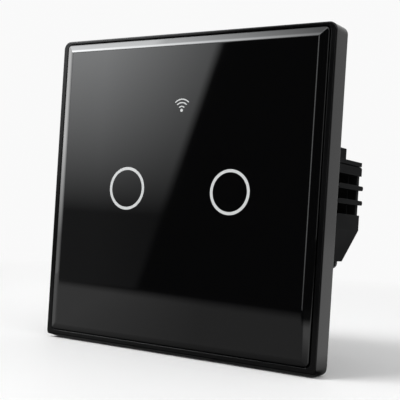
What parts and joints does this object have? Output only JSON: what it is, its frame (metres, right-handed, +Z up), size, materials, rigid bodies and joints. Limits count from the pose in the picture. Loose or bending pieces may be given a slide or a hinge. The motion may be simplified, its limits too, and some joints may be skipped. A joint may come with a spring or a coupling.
{
  "type": "touch light switch",
  "caption": "Square wall plate light switch with a black glass touch panel, touch rings, a signal pictogram and a stepped flush housing with screw terminals and vents.",
  "frame": {"origin": "centre of the two box screw slots, on the rear face of the mounting plate, which lies in the plane of the wall", "axes": "+Z up, +X to the right as one faces the switch, +Y into the wall"},
  "size_m": [0.086, 0.0477, 0.086],
  "materials": {
    "black_glass": "polished, printed black from behind",
    "black_satin": "satin",
    "tape_foam": "foam",
    "light_guide": "clear, moulded",
    "spring_steel": "bright wire",
    "board_green": "solder mask",
    "chip_black": "moulded epoxy",
    "led_white": "moulded",
    "shield_tin": "tinned sheet",
    "cover_black": "fine spark-eroded texture",
    "housing_black": "fine spark-eroded texture",
    "zinc_steel": "zinc plated",
    "screw_steel": "zinc plated",
    "black_steel": "black oxide",
    "brass": "machined",
    "relay_blue": "moulded",
    "copper_wire": "enamelled winding",
    "ferrite": "ground ferrite",
    "bobbin_black": "moulded",
    "winding_yellow": "wrapped tape",
    "can_sleeve": "shrunk sleeve",
    "film_yellow": "moulded box",
    "varistor_blue": "dipped",
    "resistor_green": "dipped"
  },
  "bodies": {
    "wall_unit": {"mounting_plate": "zinc_steel", "plate_screws": "screw_steel", "housing_body": "housing_black", "rear_cover": "housing_black", "cover_screws": "black_steel", "terminal_housing": "housing_black", "current_bars": "brass", "power_board": "board_green", "board_screws": "screw_steel", "header_socket": "chip_black", "transformer_core": "ferrite", "transformer_winding": "winding_yellow", "transformer_bobbin": "bobbin_black", "input_capacitor": "can_sleeve", "film_capacitor": "film_yellow", "varistor": "varistor_blue", "fuse_resistor": "resistor_green", "bridge_rectifier": "chip_black", "regulator_chip": "chip_black", "output_capacitor": "can_sleeve", "filter_choke": "ferrite", "relay_case_left": "relay_blue", "relay_base_left": "bobbin_black", "relay_yoke_left": "zinc_steel", "relay_bobbin_left": "bobbin_black", "relay_coil_left": "copper_wire", "relay_contact_left": "brass", "relay_case_right": "relay_blue", "relay_base_right": "bobbin_black", "relay_yoke_right": "zinc_steel", "relay_bobbin_right": "bobbin_black", "relay_coil_right": "copper_wire", "relay_contact_right": "brass"},
    "front_unit": {"glass_panel": "black_glass", "mounting_tape": "tape_foam", "panel_frame": "black_satin", "light_guides": "light_guide", "signal_light_guide": "light_guide", "touch_springs": "spring_steel", "touch_board": "board_green", "touch_chip": "chip_black", "indicator_leds": "led_white", "radio_board": "board_green", "radio_shield": "shield_tin", "header_plug": "brass", "inner_cover": "cover_black", "inner_cover_screws": "screw_steel"},
    "armature_left": {"relay_armature_left": "zinc_steel"},
    "armature_right": {"relay_armature_right": "zinc_steel"},
    "screw_1": {"terminal_screw_1": "screw_steel"},
    "clamp_1": {"terminal_clamp_1": "zinc_steel"},
    "screw_2": {"terminal_screw_2": "screw_steel"},
    "clamp_2": {"terminal_clamp_2": "zinc_steel"},
    "screw_3": {"terminal_screw_3": "screw_steel"},
    "clamp_3": {"terminal_clamp_3": "zinc_steel"},
    "screw_4": {"terminal_screw_4": "screw_steel"},
    "clamp_4": {"terminal_clamp_4": "zinc_steel"}
  },
  "joints": [
    {"name": "front_unit_pull", "type": "slide", "parent": "wall_unit", "child": "front_unit", "axis": [0, -1, 0], "range_m": [0, 0.03]},
    {"name": "armature_left_tilt", "type": "hinge", "parent": "wall_unit", "child": "armature_left", "pos_m": [-0.01805, 0.0323, -0.0113], "axis": [1, 0, 0], "range_deg": [0, 3.5], "stiffness_Nm_per_rad": 0.005, "springref_deg": -11.46},
    {"name": "armature_right_tilt", "type": "hinge", "parent": "wall_unit", "child": "armature_right", "pos_m": [-0.00715, 0.0323, -0.0113], "axis": [1, 0, 0], "range_deg": [0, 3.5], "stiffness_Nm_per_rad": 0.005, "springref_deg": -11.46},
    {"name": "screw_1_turn", "type": "hinge", "parent": "wall_unit", "child": "screw_1", "pos_m": [-0.015, 0.036, 0.0188], "axis": [0, -1, 0], "range_deg": [0, 1800]},
    {"name": "clamp_1_slide", "type": "slide", "parent": "wall_unit", "child": "clamp_1", "axis": [0, 1, 0], "range_m": [0, 0.0025]},
    {"name": "screw_2_turn", "type": "hinge", "parent": "wall_unit", "child": "screw_2", "pos_m": [-0.005, 0.036, 0.0188], "axis": [0, -1, 0], "range_deg": [0, 1800]},
    {"name": "clamp_2_slide", "type": "slide", "parent": "wall_unit", "child": "clamp_2", "axis": [0, 1, 0], "range_m": [0, 0.0025]},
    {"name": "screw_3_turn", "type": "hinge", "parent": "wall_unit", "child": "screw_3", "pos_m": [0.005, 0.036, 0.0188], "axis": [0, -1, 0], "range_deg": [0, 1800]},
    {"name": "clamp_3_slide", "type": "slide", "parent": "wall_unit", "child": "clamp_3", "axis": [0, 1, 0], "range_m": [0, 0.0025]},
    {"name": "screw_4_turn", "type": "hinge", "parent": "wall_unit", "child": "screw_4", "pos_m": [0.015, 0.036, 0.0188], "axis": [0, -1, 0], "range_deg": [0, 1800]},
    {"name": "clamp_4_slide", "type": "slide", "parent": "wall_unit", "child": "clamp_4", "axis": [0, 1, 0], "range_m": [0, 0.0025]}
  ],
  "couplings": [
    {"joint": "screw_1_turn", "follows": "clamp_1_slide", "rad_per_m": 12566},
    {"joint": "screw_2_turn", "follows": "clamp_2_slide", "rad_per_m": 12566},
    {"joint": "screw_3_turn", "follows": "clamp_3_slide", "rad_per_m": 12566},
    {"joint": "screw_4_turn", "follows": "clamp_4_slide", "rad_per_m": 12566}
  ]
}
